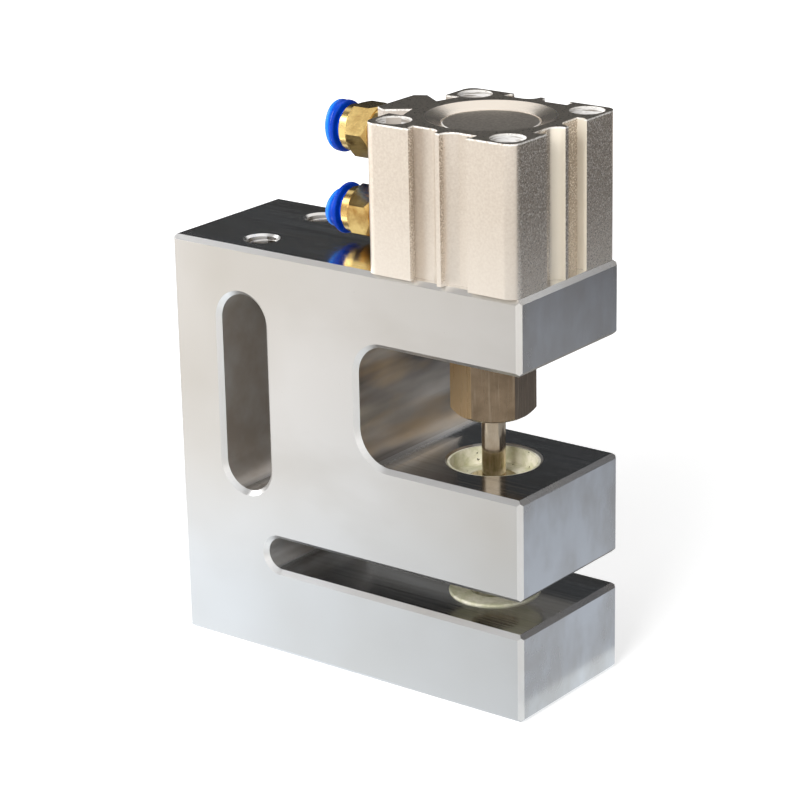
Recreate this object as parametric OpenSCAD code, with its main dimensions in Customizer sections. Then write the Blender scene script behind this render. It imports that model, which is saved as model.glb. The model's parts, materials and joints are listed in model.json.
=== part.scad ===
// Pneumatic punching machine: a one-piece steel C-frame with a compact air
// cylinder on its upper arm. The cylinder drives a hex coupler and a punch
// down through a guide bush into a die ring in the lower arm.
// Origin at the middle of the base, +X towards the open throat, +Z up.

/* [C-frame] */
// Length of the frame from its back to the ends of the arms
frame_l = 111; // [105:0.5:125]
// Thickness of the frame block
frame_t = 44; // [43:0.5:60]
// Height of the bottom arm
base_t = 24; // [20:0.5:40]
// Height of the work slot
slot_h = 8.7; // [6:0.1:14]
// Height of the middle arm, which holds the guide bush
guide_arm_t = 27.2; // [24:0.1:40]
// Height of the throat
throat_h = 32; // [30:0.5:50]
// Height of the top arm
top_arm_t = 19.6; // [18:0.1:30]
// Depth of the throat from the ends of the arms
throat_l = 50.5; // [48:0.5:56]
// Steel left behind the closed end of the work slot
slot_back_w = 28.8; // [20:0.1:40]
// Corner radius of the throat under the top arm
throat_top_r = 8; // [4:0.5:12]
// Corner radius of the throat on the middle arm
throat_floor_r = 9.5; // [4:0.5:12]
// Chamfer along every edge of the block
edge_chamfer = 1.2; // [0.5:0.1:2]
// Width of the long window in the column
window_w = 15; // [10:0.5:20]
// Length of the window
window_l = 54; // [40:1:58]
// Distance from the back face to the window's centre line
window_x = 23; // [18:0.5:30]
// Height of the window's middle above the base
window_z = 71.4; // [70:0.1:74]
// Distance between the two tapped holes in the top
top_hole_gap = 25; // [20:0.5:28]
// Radius of the tapped holes in the top
top_hole_r = 4.25; // [2.5:0.05:5]
// Distance from the ends of the arms to the punch axis
axis_inset = 23.6; // [22.6:0.1:26]

/* [Punch and die] */
// Radius of the bores through the three arms
tool_bore_r = 12; // [11.8:0.1:13]
// Wall of the guide bush around its cup
bush_wall = 0.6; // [0.4:0.1:0.8]
// Drop of the bush rim below the middle arm's top
bush_rim_drop = 0.4; // [0.2:0.1:1]
// Drop of the cup floor below the middle arm's top
bush_floor_drop = 4.8; // [3.6:0.1:6]
// Radius of the punch
punch_r = 6.5; // [4:0.1:8]
// Running gap between the punch and the guide bush
punch_gap = 0.05; // [0.02:0.01:0.1]
// Radius of the punch shank
shank_r = 3.1; // [2.5:0.1:3.5]
// Length of the shank inside the coupler
shank_grip = 12; // [8:0.5:14]
// Rest height of the cutting face above the work slot's roof
punch_lift = 1; // [0.5:0.1:2]
// Length of the reduced neck above the cutting land
punch_relief_l = 4; // [2:0.5:6]
// Depth of the relief above the cutting land
punch_relief = 0.4; // [0.2:0.1:0.8]
// Length of the cutting land
punch_land_l = 8; // [7:0.5:9]
// Height of the die ring above the bottom arm
die_proud = 0.5; // [0.2:0.1:0.8]
// Depth of the die seat in the bottom arm
die_seat_h = 12; // [8:0.5:16]
// Radial cutting clearance between the punch and the die
die_gap = 0.1; // [0.05:0.01:0.15]
// Length of the cutting land in the die
die_land = 5; // [4:0.5:8]
// Radius of the slug hole under the die
slug_r = 7.6; // [7.2:0.1:9]

/* [Coupler] */
// Width across the flats of the coupler
coupler_af = 19; // [17:0.5:19]
// Gap between the coupler and the middle arm at rest
coupler_lift = 12.7; // [12:0.1:16]
// Direction that one flat of the coupler faces, from the front
coupler_turn = 35; // [0:1:60]
// Radius of the flat ring left by the chamfer under the coupler
coupler_face_r = 8.4; // [7.5:0.1:8.4]
// Angle of the chamfer under the coupler
coupler_chamfer_a = 30; // [20:1:45]
// Radius of the stud between the coupler and the rod
stud_r = 4; // [3:0.25:5]
// Length of the stud inside the coupler
stud_low_l = 10; // [8:0.5:12]
// Length of the stud inside the rod
stud_high_l = 11; // [8:0.5:12]
// Radius of the grub screw that holds the punch
grub_r = 2.5; // [1.5:0.25:3]

/* [Cylinder] */
// Width of the square cylinder body
body_w = 45; // [44:0.5:46]
// Radius of the body's upright corners
body_corner_r = 3; // [2:0.1:4.5]
// Travel of the punch
stroke = 15; // [8:0.5:15]
// Thickness of the body between the bore and its flat sides
bore_wall = 6.5; // [6.5:0.1:7]
// Radius of the piston rod as a share of the bore's radius
rod_share = 0.5; // [0.4:0.01:0.5]
// Length of rod below the body at rest
rod_reach = 7; // [5:0.5:8]
// Height of the piston
piston_t = 7; // [7:0.1:9]
// Length of the rod cover
rod_cover_l = 8.8; // [8.8:0.1:11]
// Height of the open mouth below the rod cover
mouth_h = 3; // [2.6:0.1:3.4]
// Height of the closed head
head_t = 4; // [4:0.1:6]
// Cushion gap above and below the piston at the ends of its travel
end_gap = 0.3; // [0.1:0.05:0.5]
// Distance from the sides of the body to the middle of each mounting screw
screw_inset = 5.5; // [5.3:0.1:5.7]
// Radius of the mounting screws
screw_r = 2.5; // [2:0.25:2.6]
// Radius of the counterbores for the screw heads
counterbore_r = 4.5; // [4.4:0.05:4.6]
// Depth of the counterbores
counterbore_h = 8.5; // [7:0.1:10]
// Width of the face between each switch groove and the nearest counterbore
groove_land = 3.85; // [3.4:0.05:5.8]
// Depth of the switch grooves
groove_h = 3.4; // [2.5:0.1:3.6]
// Width of the rib between two switch grooves
rib_w = 1.3; // [1:0.1:3]
// Width of the dished ring on the head
dish_w = 4.1; // [3.2:0.1:4.8]
// Distance that the disc in the head is smaller than the bore, all round
head_disc_inset = 3.5; // [2.5:0.1:5]
// Depth of the dish
dish_h = 1.6; // [1:0.1:2]

/* [Ports and fittings] */
// Width of the port boss
boss_w = 18.5; // [16:0.5:20]
// Width of the port boss at its narrow root
boss_root_w = 9; // [8:0.5:10]
// Height of the port boss above the side of the body
boss_out = 6.8; // [5:0.1:8]
// Height of the lower port above the bottom of the body
port_low_z = 8.3; // [7.7:0.1:9]
// Depth of the upper port below the top of the body
port_high_drop = 8.5; // [8:0.1:9.5]
// Radius of the port threads
port_r = 4.4; // [4:0.1:4.8]
// Depth of the port threads
port_h = 7.5; // [7:0.1:8.5]
// Width across the flats of the fittings
fitting_af = 13; // [13:0.1:13.2]
// Length of the round neck between the boss and each hexagon
fitting_neck_l = 4.7; // [4:0.1:6]
// Length of the fittings' hexagons
fitting_hex_l = 7; // [6:0.1:8]
// Radius of the round neck and of the round end of the fittings
fitting_round_r = 6; // [5.8:0.1:6.2]
// Length of the round end of the fittings
fitting_round_l = 2.6; // [2.4:0.1:4]
// Radius of the air tube that the fittings take
tube_r = 4; // [3.8:0.05:4]
// Radius of the release collars
collar_r = 6.9; // [6.7:0.1:7.2]
// Travel of the release collars
collar_travel = 0.9; // [0.5:0.1:1.2]
// Turn of the upper release collar about its axis
collar_high_turn = 10; // [0:5:180]
// Turn of the lower release collar about its axis
collar_low_turn = 80; // [0:5:180]

/* [Hidden] */
$fn = 64;

// Overrun of every cut past the face it opens
over = 1;
// Gap between a seated piece and its seat
seat_gap = 0.02;
// Gap between sliding pieces
slide_gap = 0.05;

frame_h = base_t + slot_h + guide_arm_t + throat_h + top_arm_t;
back_x = -frame_l / 2;
front_x = frame_l / 2;
side_y = frame_t / 2;
slot_roof_z = base_t + slot_h;
throat_floor_z = slot_roof_z + guide_arm_t;
throat_roof_z = throat_floor_z + throat_h;
throat_wall_x = front_x - throat_l;
slot_end_x = back_x + slot_back_w;
axis_x = front_x - axis_inset;
window_cx = back_x + window_x;
tool_edge = edge_chamfer / 2;
// Half the angle between two corners of a hexagon
hex_half_a = 30;
// Angle of the chamfers on the fittings' hexagons
hex_end_a = 45;
// Depth and radius of the tapped holes for the cylinder screws
screw_hole_h = 12;
screw_hole_r = screw_r + slide_gap;

// A prism along X with its four long edges chamfered
module edge_block(size_a, size_b, length) {
    a = size_a / 2;
    b = size_b / 2;
    c = edge_chamfer;
    linear_extrude(height = length)
        polygon([[-a + c, -b], [a - c, -b], [a, -b + c], [a, b - c],
                 [a - c, b], [-a + c, b], [-a, b - c], [-a, -b + c]]);
}

module frame_block() {
    intersection() {
        edge_block(frame_l, frame_t, frame_h);
        translate([0, side_y, frame_h / 2])
            rotate([90, 0, 0]) edge_block(frame_l, frame_h, frame_t);
        translate([back_x, 0, frame_h / 2])
            rotate([90, 0, 90]) edge_block(frame_t, frame_h, frame_l);
    }
}

// Flare around the mouth of an opening's round corner, along the Z axis
module corner_flare(r) {
    translate([0, 0, -edge_chamfer])
        cylinder(h = edge_chamfer + over, r1 = r, r2 = r + edge_chamfer + over);
}

// Bar of triangular section that chamfers a straight edge of an opening.
// It runs along X, and removes the corner at y = 0, z = 0 towards -y and -z.
module edge_flare(length) {
    reach = edge_chamfer + over;
    rotate([90, 0, 90]) linear_extrude(height = length)
        polygon([[-edge_chamfer, 0], [over, -reach], [over, over], [-edge_chamfer, over]]);
}

// An opening that starts at x0 with a low and a high corner radius and runs
// out past the arms' ends, with every edge chamfered
module open_pocket(x0, z0, z1, low_r, high_r, round_end = false) {
    length = front_x - x0 + over;
    corners = round_end ? [[low_r, z0 + low_r]] : [[low_r, z0 + low_r], [high_r, z1 - high_r]];
    translate([0, side_y + over, 0]) rotate([90, 0, 0])
        linear_extrude(height = frame_t + over * 2) {
            for (corner = corners) translate([x0 + corner[0], corner[1]]) circle(r = corner[0]);
            if (round_end) translate([x0 + low_r, z0]) square([length - low_r, z1 - z0]);
            else {
                translate([x0, z0 + low_r]) square([length, z1 - z0 - low_r - high_r]);
                translate([x0 + low_r, z0]) square([length - low_r, low_r + over]);
                translate([x0 + high_r, z1 - high_r - over]) square([length - high_r, high_r + over]);
            }
        }
    for (side = [0, 1]) mirror([0, side, 0]) {
        translate([x0 + low_r, side_y, z0]) edge_flare(length - low_r);
        translate([x0 + high_r, side_y, z1]) mirror([0, 0, 1]) edge_flare(length - high_r);
        if (!round_end) translate([x0, side_y, z1 - high_r]) rotate([0, 90, 0])
            edge_flare(z1 - z0 - low_r - high_r);
        for (corner = corners) translate([x0 + corner[0], side_y, corner[1]])
            rotate([-90, 0, 0]) corner_flare(corner[0]);
    }
    for (z = [z0, z1])
        translate([front_x, 0, z]) mirror([0, 0, z == z1 ? 1 : 0]) arm_end_flare();
}

// Chamfer across the end of an arm, below z = 0
module arm_end_flare() {
    reach = edge_chamfer + over;
    translate([0, side_y + over, 0]) rotate([90, 0, 0])
        linear_extrude(height = frame_t + over * 2)
            polygon([[-edge_chamfer, 0], [over, -reach], [over, over], [-edge_chamfer, over]]);
}

module window_cut() {
    r = window_w / 2;
    run = window_l / 2 - r;
    translate([window_cx, 0, window_z]) {
        rotate([90, 0, 0]) translate([0, 0, -side_y - over])
            linear_extrude(height = frame_t + over * 2) {
                for (end = [-run, run]) translate([0, end]) circle(r = r);
                square([window_w, run * 2], center = true);
            }
        for (side = [0, 1]) mirror([0, side, 0]) {
            for (end = [-run, run])
                translate([0, side_y, end]) rotate([-90, 0, 0]) corner_flare(r);
            for (edge = [0, 1]) mirror([edge, 0, 0])
                translate([-r, side_y, run]) rotate([0, 90, 0]) edge_flare(run * 2);
        }
    }
}

// A round hole from z0 up to z1 with a small chamfer at each open end
module round_cut(r, z0, z1) {
    translate([0, 0, z0 - over]) cylinder(h = z1 - z0 + over * 2, r = r);
    for (end = [[z0, 1], [z1, 0]])
        translate([0, 0, end[0]]) mirror([0, 0, end[1]])
            translate([0, 0, -tool_edge])
                cylinder(h = tool_edge + over, r1 = r, r2 = r + tool_edge + over);
}

module at_screws() {
    for (sx = [-1, 1], sy = [-1, 1])
        translate([sx * screw_gap / 2, sy * screw_gap / 2, 0]) children();
}

module c_frame() {
    color("silver") difference() {
        frame_block();
        open_pocket(throat_wall_x, throat_floor_z, throat_roof_z, throat_floor_r, throat_top_r);
        open_pocket(slot_end_x, base_t, slot_roof_z, slot_h / 2, slot_h / 2, round_end = true);
        window_cut();
        translate([axis_x, 0, 0]) {
            round_cut(tool_bore_r, throat_roof_z, frame_h);
            round_cut(tool_bore_r, slot_roof_z, throat_floor_z);
            translate([0, 0, base_t - die_seat_h])
                cylinder(h = die_seat_h + over, r = tool_bore_r);
            round_cut(slug_r, 0, base_t - die_seat_h);
            at_screws() translate([0, 0, frame_h - screw_hole_h])
                cylinder(h = screw_hole_h + over, r = screw_hole_r);
        }
        for (side = [-1, 1]) translate([window_cx, side * top_hole_gap / 2, 0])
            round_cut(top_hole_r, window_z + window_l / 2 - window_w / 2, frame_h);
    }
}

// Sizes that follow the width of the cylinder body
bore_r = body_w / 2 - bore_wall;
rod_r = bore_r * rod_share;
screw_gap = body_w - screw_inset * 2;
groove_w = screw_gap / 2 - counterbore_r - groove_land - rib_w / 2;
head_disc_r = bore_r - head_disc_inset;
dish_r = head_disc_r + dish_w;

// Heights of the tools on the punch axis
bush_top_z = throat_floor_z - bush_rim_drop;
bush_floor_z = throat_floor_z - bush_floor_drop;
bush_r = tool_bore_r - seat_gap;
bush_bore_r = punch_r + punch_gap;
punch_z = slot_roof_z + punch_lift;
die_r = tool_bore_r - seat_gap;
die_bore_r = punch_r + die_gap;
die_h = die_seat_h + die_proud;
coupler_z = throat_floor_z + coupler_lift;

module guide_bush() {
    color("beige") translate([axis_x, 0, 0]) difference() {
        translate([0, 0, slot_roof_z]) cylinder(h = bush_top_z - slot_roof_z, r = bush_r);
        translate([0, 0, bush_floor_z])
            cylinder(h = bush_top_z - bush_floor_z + over, r = bush_r - bush_wall);
        translate([0, 0, slot_roof_z - over])
            cylinder(h = bush_floor_z - slot_roof_z + over * 2, r = bush_bore_r);
    }
}

module die_ring() {
    relief = (slug_r - die_bore_r) / 2;
    edge = die_proud / 2;
    color("beige") translate([axis_x, 0, base_t - die_seat_h]) difference() {
        rotate_extrude()
            polygon([[0, 0], [die_r, 0], [die_r, die_h - edge], [die_r - edge, die_h], [0, die_h]]);
        translate([0, 0, -over]) cylinder(h = die_h + over * 2, r = die_bore_r);
        translate([0, 0, -over]) cylinder(h = die_h - die_land + over, r = die_bore_r + relief);
    }
}

// The cylinder stands on the top arm. Heights in it count from its foot.
body_h = mouth_h + rod_cover_l + end_gap * 2 + stroke + piston_t + head_t;
cover_top = mouth_h + rod_cover_l;
piston_z = cover_top + end_gap + stroke;
head_z = body_h - head_t;
port_high_z = body_h - port_high_drop;
boss_x = -body_w / 2 - boss_out;
// Counterbore at the rod end that takes the rod cover
cover_step = 1;
nose_share = 0.9;
snap_step = 0.8;
cover_r = bore_r + cover_step;
nose_r = bore_r * nose_share;
nose_l = 3.4;
snap_groove_r = cover_r + snap_step;
snap_h = 1.3;
snap_play = 0.1;
snap_z = mouth_h - snap_h - snap_play;
undercut = 0.9;
lip_h = 0.9;
screw_clear = 0.3;
boss_edge = 3;
boss_edge_w = 1.8;
boss_tip_w = boss_w - boss_edge_w * 2;
pocket_h = 2;
pocket_deep_h = 4.3;
pocket_land = 0.6;
air_hole_r = 1.1;
head_lip = 1.6;
head_plate_h = head_t - dish_h - seat_gap;
disc_step = 0.5;

module on_body() {
    translate([axis_x, 0, frame_h]) children();
}

// Plan of one switch groove, from the rib outwards, cut into y = 0 from below:
// a hollow beside the rib, then a mouth with an undercut behind its lip
module groove_plan() {
    hollow_x = rib_w / 2 + groove_h;
    translate([hollow_x, 0]) circle(r = groove_h);
    translate([hollow_x, -over]) square([groove_w - groove_h, groove_h + over]);
    translate([hollow_x, lip_h]) square([groove_w + undercut - groove_h, groove_h - lip_h]);
}

// The port boss widens outwards from a narrow root
module boss_plan() {
    root = -body_w / 2 + pocket_h + over;
    polygon([[root, -boss_root_w / 2], [boss_x + boss_edge, -boss_w / 2],
             [boss_x, -boss_tip_w / 2], [boss_x, boss_tip_w / 2],
             [boss_x + boss_edge, boss_w / 2], [root, boss_root_w / 2]]);
}

// Hollow beside the root of the boss, up to a thin land by the counterbore
module boss_pocket_plan() {
    half = body_w / 2;
    far_y = screw_gap / 2 - counterbore_r - pocket_land;
    polygon([[-half - over, boss_root_w / 2], [-half + pocket_h, boss_root_w / 2],
             [-half + pocket_deep_h, far_y], [-half - over, far_y]]);
}

module body_plan() {
    r = body_corner_r;
    half = body_w / 2;
    difference() {
        union() {
            for (sx = [-1, 1], sy = [-1, 1])
                translate([sx * (half - r), sy * (half - r)]) circle(r = r);
            square([body_w, body_w - r * 2], center = true);
            square([body_w - r * 2, body_w], center = true);
        }
        for (face = [0, 90, 180], side = [0, 1])
            rotate(face) mirror([side, 0]) translate([0, -half]) groove_plan();
        for (side = [0, 1]) mirror([0, side]) boss_pocket_plan();
    }
}

module at_ports() {
    for (z = [port_low_z, port_high_z])
        translate([boss_x, 0, z]) rotate([0, 90, 0]) children();
}

module cylinder_tube() {
    port_end = boss_x + port_h;
    slant_z = head_z + end_gap - port_high_z;
    slant_l = -bore_r - port_end;
    color("tan") on_body() difference() {
        union() {
            linear_extrude(height = body_h) body_plan();
            linear_extrude(height = body_h) boss_plan();
        }
        translate([0, 0, cover_top - nose_l]) cylinder(h = head_z - cover_top + nose_l, r = bore_r);
        translate([0, 0, -over]) cylinder(h = cover_top - nose_l + over, r = cover_r);
        translate([0, 0, snap_z]) cylinder(h = snap_h + snap_play, r = snap_groove_r);
        translate([0, 0, -over]) cylinder(h = over + snap_play, r1 = snap_groove_r, r2 = cover_r);
        // The head: a seat for the disc, then the dished ring
        translate([0, 0, head_z - over]) cylinder(h = head_t + over * 2, r = head_disc_r - head_lip);
        translate([0, 0, head_z - over]) cylinder(h = head_t - dish_h + over, r = head_disc_r);
        translate([0, 0, body_h - dish_h])
            cylinder(h = dish_h, r1 = head_disc_r, r2 = dish_r);
        translate([0, 0, body_h]) cylinder(h = over, r = dish_r);
        at_screws() {
            translate([0, 0, -over]) cylinder(h = body_h + over * 2, r = screw_r + screw_clear);
            translate([0, 0, body_h - counterbore_h])
                cylinder(h = counterbore_h + over, r = counterbore_r);
        }
        at_ports() translate([0, 0, -over]) cylinder(h = port_h + over, r = port_r);
        // Air passages from the ports to the two ends of the bore
        translate([port_end - over, 0, cover_top - nose_l + air_hole_r + snap_play])
            rotate([0, 90, 0]) cylinder(h = slant_l + over * 2, r = air_hole_r);
        translate([port_end, 0, port_high_z])
            rotate([0, 90 - atan2(slant_z, slant_l), 0]) translate([0, 0, -over])
                cylinder(h = norm([slant_z, slant_l]) + over, r = air_hole_r);
    }
}

module head_plate() {
    color("dimgray") on_body() translate([0, 0, head_z]) rotate_extrude()
        polygon([[0, 0], [head_disc_r - seat_gap, 0],
                 [head_disc_r - seat_gap, head_plate_h - disc_step],
                 [head_disc_r - seat_gap - disc_step, head_plate_h], [0, head_plate_h]]);
}

module ring(outer_r, inner_r, height) {
    difference() {
        cylinder(h = height, r = outer_r);
        translate([0, 0, -over]) cylinder(h = height + over * 2, r = inner_r);
    }
}

// A ring of round section with its middle at z = 0
module o_ring(middle_r, wire_r) {
    rotate_extrude() translate([middle_r, 0]) circle(r = wire_r);
}

bush_l = 4.5;
rod_bush_wall = 1;
rod_bush_r = rod_r + rod_bush_wall;
rod_seal_w = 3;
seal_r = rod_r + rod_seal_w;
seal_l = 2.6;
cover_ring_wire = 0.9;
cover_ring_lift = 2.4;
cover_ring_z = mouth_h + cover_ring_lift;
piston_seal_h = 2.4;
piston_seal_depth = 2.6;
wear_ring_h = 2;
wear_ring_depth = 1.2;
bumper_h = 0.8;
bumper_share = 0.76;
bumper_width_share = 0.7;
spigot_r = 5;
land = 0.8;

module rod_cover() {
    color("darkgray") on_body() difference() {
        union() {
            translate([0, 0, mouth_h])
                cylinder(h = rod_cover_l - nose_l - seat_gap, r = cover_r - seat_gap);
            translate([0, 0, mouth_h]) cylinder(h = rod_cover_l, r = nose_r);
        }
        translate([0, 0, mouth_h - over]) cylinder(h = rod_cover_l + over * 2, r = rod_r + slide_gap * 2);
        translate([0, 0, mouth_h - over]) cylinder(h = seal_l + over, r = seal_r);
        translate([0, 0, cover_top - bush_l]) cylinder(h = bush_l + over, r = rod_bush_r);
        translate([0, 0, cover_ring_z - cover_ring_wire]) ring(cover_r + over,
            cover_r - cover_ring_wire * 2, cover_ring_wire * 2);
    }
}

module rod_bush() {
    color("peru") on_body() translate([0, 0, cover_top - bush_l])
        ring(rod_bush_r - seat_gap, rod_r + slide_gap, bush_l);
}

module rod_seal() {
    color("black") on_body() translate([0, 0, mouth_h])
        ring(seal_r - seat_gap, rod_r + seat_gap, seal_l - seat_gap);
}

module rod_cover_o_ring() {
    color("black") on_body() translate([0, 0, cover_ring_z])
        o_ring(cover_r - cover_ring_wire, cover_ring_wire - seat_gap);
}

// A snap ring with two lugs and a gap, in the groove at the mouth
module rod_cover_snap_ring() {
    ring_w = 3;
    gap_w = 7;
    lug_r = 2.2;
    lug_hole_r = 1;
    lug_a = 24;
    outer = snap_groove_r - seat_gap;
    color("dimgray") on_body() translate([0, 0, snap_z + snap_play]) difference() {
        union() {
            difference() {
                ring(outer, outer - ring_w, snap_h - snap_play);
                translate([0, -gap_w / 2, -over])
                    cube([outer + over, gap_w, snap_h + over * 2]);
            }
            for (side = [-1, 1]) rotate(side * lug_a)
                translate([outer - ring_w, 0, 0]) cylinder(h = snap_h - snap_play, r = lug_r);
        }
        for (side = [-1, 1]) rotate(side * lug_a)
            translate([outer - ring_w, 0, -over]) cylinder(h = snap_h + over * 2, r = lug_hole_r);
    }
}

screw_head_h = 5;
screw_head_gap = 0.25;
screw_head_r = counterbore_r - screw_head_gap;
screw_key_af = 4;
screw_key_h = 2.5;
screw_bite = 10.5;

module cylinder_screws() {
    seat_z = body_h - counterbore_h;
    color("gray") on_body() at_screws() difference() {
        union() {
            translate([0, 0, seat_z]) cylinder(h = screw_head_h, r = screw_head_r);
            translate([0, 0, -screw_bite]) cylinder(h = seat_z + screw_bite, r = screw_r);
        }
        translate([0, 0, seat_z + screw_head_h - screw_key_h])
            cylinder(h = screw_key_h + over, d = screw_key_af / cos(hex_half_a), $fn = 6);
    }
}

// Push-in fittings. Each is drawn along +Z out of its port, from the boss.
thread_l = port_h - land;
hex_edge = 0.8;
tube_hole_r = tube_r + slide_gap;
tube_step = 1;
bore_step_r = tube_r - tube_step;
tube_seat_z = 1;
seal_z = 3;
tube_seal_h = 2.4;
tube_seal_r = 5.3;
collet_z = 6;
collet_r = 5.2;
o_ring_wire = 0.8;
collar_gap = collar_travel + slide_gap * 2;
collar_ring_h = 1.3;
collar_flange_h = 2.5;
collar_waist = 5;
collar_neck_r = 4.9;
collar_neck_l = 3.6;
fitting_l = fitting_neck_l + fitting_hex_l + fitting_round_l;

module on_port(z, turn) {
    on_body() translate([boss_x, 0, z]) rotate([0, -90, 0]) rotate(turn) children();
}

// Hexagon across its flats, with its corners cut back at both ends
module chamfered_hex(af, length, face_r, angle) {
    corner_r = af / 2 / cos(hex_half_a);
    drop = (corner_r - face_r) * tan(angle);
    intersection() {
        cylinder(h = length, r = corner_r, $fn = 6);
        rotate_extrude()
            polygon([[0, 0], [face_r, 0], [corner_r + over, drop + over * tan(angle)],
                     [corner_r + over, length - drop - over * tan(angle)],
                     [face_r, length], [0, length]]);
    }
}

module fitting_body() {
    color("goldenrod") difference() {
        union() {
            translate([0, 0, -thread_l]) cylinder(h = thread_l + over, r = port_r - slide_gap);
            translate([0, 0, fitting_neck_l])
                chamfered_hex(fitting_af, fitting_hex_l, fitting_af / 2 - hex_edge / 4, hex_end_a);
            cylinder(h = fitting_l - hex_edge / 2, r = fitting_round_r);
            cylinder(h = fitting_l, r = fitting_round_r - hex_edge / 2);
        }
        translate([0, 0, -thread_l - over]) cylinder(h = thread_l + fitting_l + over * 2, r = bore_step_r);
        translate([0, 0, tube_seat_z]) cylinder(h = fitting_l - tube_seat_z + over, r = tube_hole_r);
        translate([0, 0, seal_z]) cylinder(h = tube_seal_h, r = tube_seal_r);
        translate([0, 0, collet_z]) cylinder(h = fitting_l - collet_z + over, r = collet_r);
        translate([0, 0, -o_ring_wire]) ring(port_r + over, port_r - o_ring_wire, o_ring_wire);
    }
}

module fitting_o_ring() {
    color("black") translate([0, 0, seat_gap - o_ring_wire])
        ring(port_r - seat_gap, port_r - o_ring_wire + seat_gap, o_ring_wire - seat_gap);
}

module tube_seal() {
    color("black") translate([0, 0, seal_z])
        ring(tube_seal_r - seat_gap, tube_hole_r, tube_seal_h - seat_gap);
}

module collet() {
    teeth = 6;
    slit_w = 0.6;
    length = fitting_l - collet_z - collar_neck_l - collar_travel * 2;
    color("silver") translate([0, 0, collet_z]) difference() {
        ring(collet_r - seat_gap, tube_hole_r, length);
        for (i = [0 : teeth - 1]) rotate(i * 360 / teeth)
            translate([0, -slit_w / 2, length / 2]) cube([collet_r + over, slit_w, length]);
    }
}

// A release collar: round ring by the brass, then an oval press flange
module release_collar() {
    collar_z = fitting_l + collar_gap;
    oval_shift = collar_r - collar_waist;
    color("royalblue") difference() {
        union() {
            translate([0, 0, collar_z]) cylinder(h = collar_ring_h, r = collar_r - hex_edge / 4);
            translate([0, 0, fitting_l - collar_neck_l])
                cylinder(h = collar_neck_l + collar_gap + over, r = collar_neck_r);
            translate([0, 0, collar_z + collar_ring_h]) linear_extrude(height = collar_flange_h) {
                for (side = [-1, 1]) translate([side * oval_shift, 0]) circle(r = collar_waist);
                square([oval_shift * 2, collar_waist * 2], center = true);
            }
        }
        translate([0, 0, fitting_l - collar_neck_l - over])
            cylinder(h = collar_neck_l + collar_gap + collar_ring_h + collar_flange_h + over * 2,
                     r = tube_hole_r + slide_gap);
    }
}

// Turn of each fitting's hexagon about its port
high_hex_turn = 30;
low_hex_turn = -7;

module upper_fitting_body() { on_port(port_high_z, high_hex_turn) fitting_body(); }
module upper_fitting_o_ring() { on_port(port_high_z, 0) fitting_o_ring(); }
module upper_tube_seal() { on_port(port_high_z, 0) tube_seal(); }
module upper_collet() { on_port(port_high_z, 0) collet(); }
module upper_release_collar() { on_port(port_high_z, collar_high_turn) release_collar(); }
module lower_fitting_body() { on_port(port_low_z, low_hex_turn) fitting_body(); }
module lower_fitting_o_ring() { on_port(port_low_z, 0) fitting_o_ring(); }
module lower_tube_seal() { on_port(port_low_z, 0) tube_seal(); }
module lower_collet() { on_port(port_low_z, 0) collet(); }
module lower_release_collar() { on_port(port_low_z, collar_low_turn) release_collar(); }

// The ram: piston, rod, stud, coupler and punch, drawn at the top of their travel
piston_r = bore_r - slide_gap;
wear_z = land;
piston_seal_z = piston_t - land - piston_seal_h;
bumper_r = bore_r * bumper_share;
bumper_w = (bumper_r - rod_r) * bumper_width_share;

module on_piston() {
    on_body() translate([0, 0, piston_z]) children();
}

module piston() {
    color("lightgray") on_piston() difference() {
        cylinder(h = piston_t, r = piston_r - slide_gap);
        translate([0, 0, -over]) cylinder(h = piston_t + over * 2, r = spigot_r);
        translate([0, 0, piston_seal_z])
            ring(bore_r + over, piston_r - piston_seal_depth, piston_seal_h);
        translate([0, 0, wear_z]) ring(bore_r + over, piston_r - wear_ring_depth, wear_ring_h);
        for (z = [-over, piston_t - bumper_h])
            translate([0, 0, z]) ring(bumper_r, bumper_r - bumper_w, bumper_h + over);
    }
}

module piston_seal() {
    color("black") on_piston() translate([0, 0, piston_seal_z])
        ring(bore_r - seat_gap, piston_r - piston_seal_depth + seat_gap, piston_seal_h - seat_gap);
}

module piston_wear_ring() {
    color("ivory") on_piston() translate([0, 0, wear_z])
        ring(bore_r - seat_gap, piston_r - wear_ring_depth + seat_gap, wear_ring_h - seat_gap);
}

module piston_bumpers() {
    color("orange") on_piston() for (z = [-end_gap / 2, piston_t - bumper_h + seat_gap])
        translate([0, 0, z]) ring(bumper_r - seat_gap, bumper_r - bumper_w + seat_gap,
                                  bumper_h + end_gap / 2 - seat_gap);
}

module piston_rod() {
    rod_l = piston_z + rod_reach;
    color("gainsboro") on_body() difference() {
        union() {
            translate([0, 0, -rod_reach]) cylinder(h = rod_l - land, r = rod_r);
            translate([0, 0, -rod_reach]) cylinder(h = rod_l, r = rod_r - slide_gap);
            translate([0, 0, piston_z]) cylinder(h = piston_t, r = spigot_r - seat_gap);
        }
        translate([0, 0, -rod_reach - over])
            cylinder(h = stud_high_l + land + over, r = stud_r + slide_gap);
    }
}

coupler_top_z = frame_h - rod_reach;
coupler_l = coupler_top_z - coupler_z;
shank_top_z = coupler_z + shank_grip;
grub_z = coupler_z + shank_grip / 2;

module coupler_stud() {
    color("gray") translate([axis_x, 0, coupler_top_z - stud_low_l])
        cylinder(h = stud_low_l + stud_high_l, r = stud_r);
}

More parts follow.
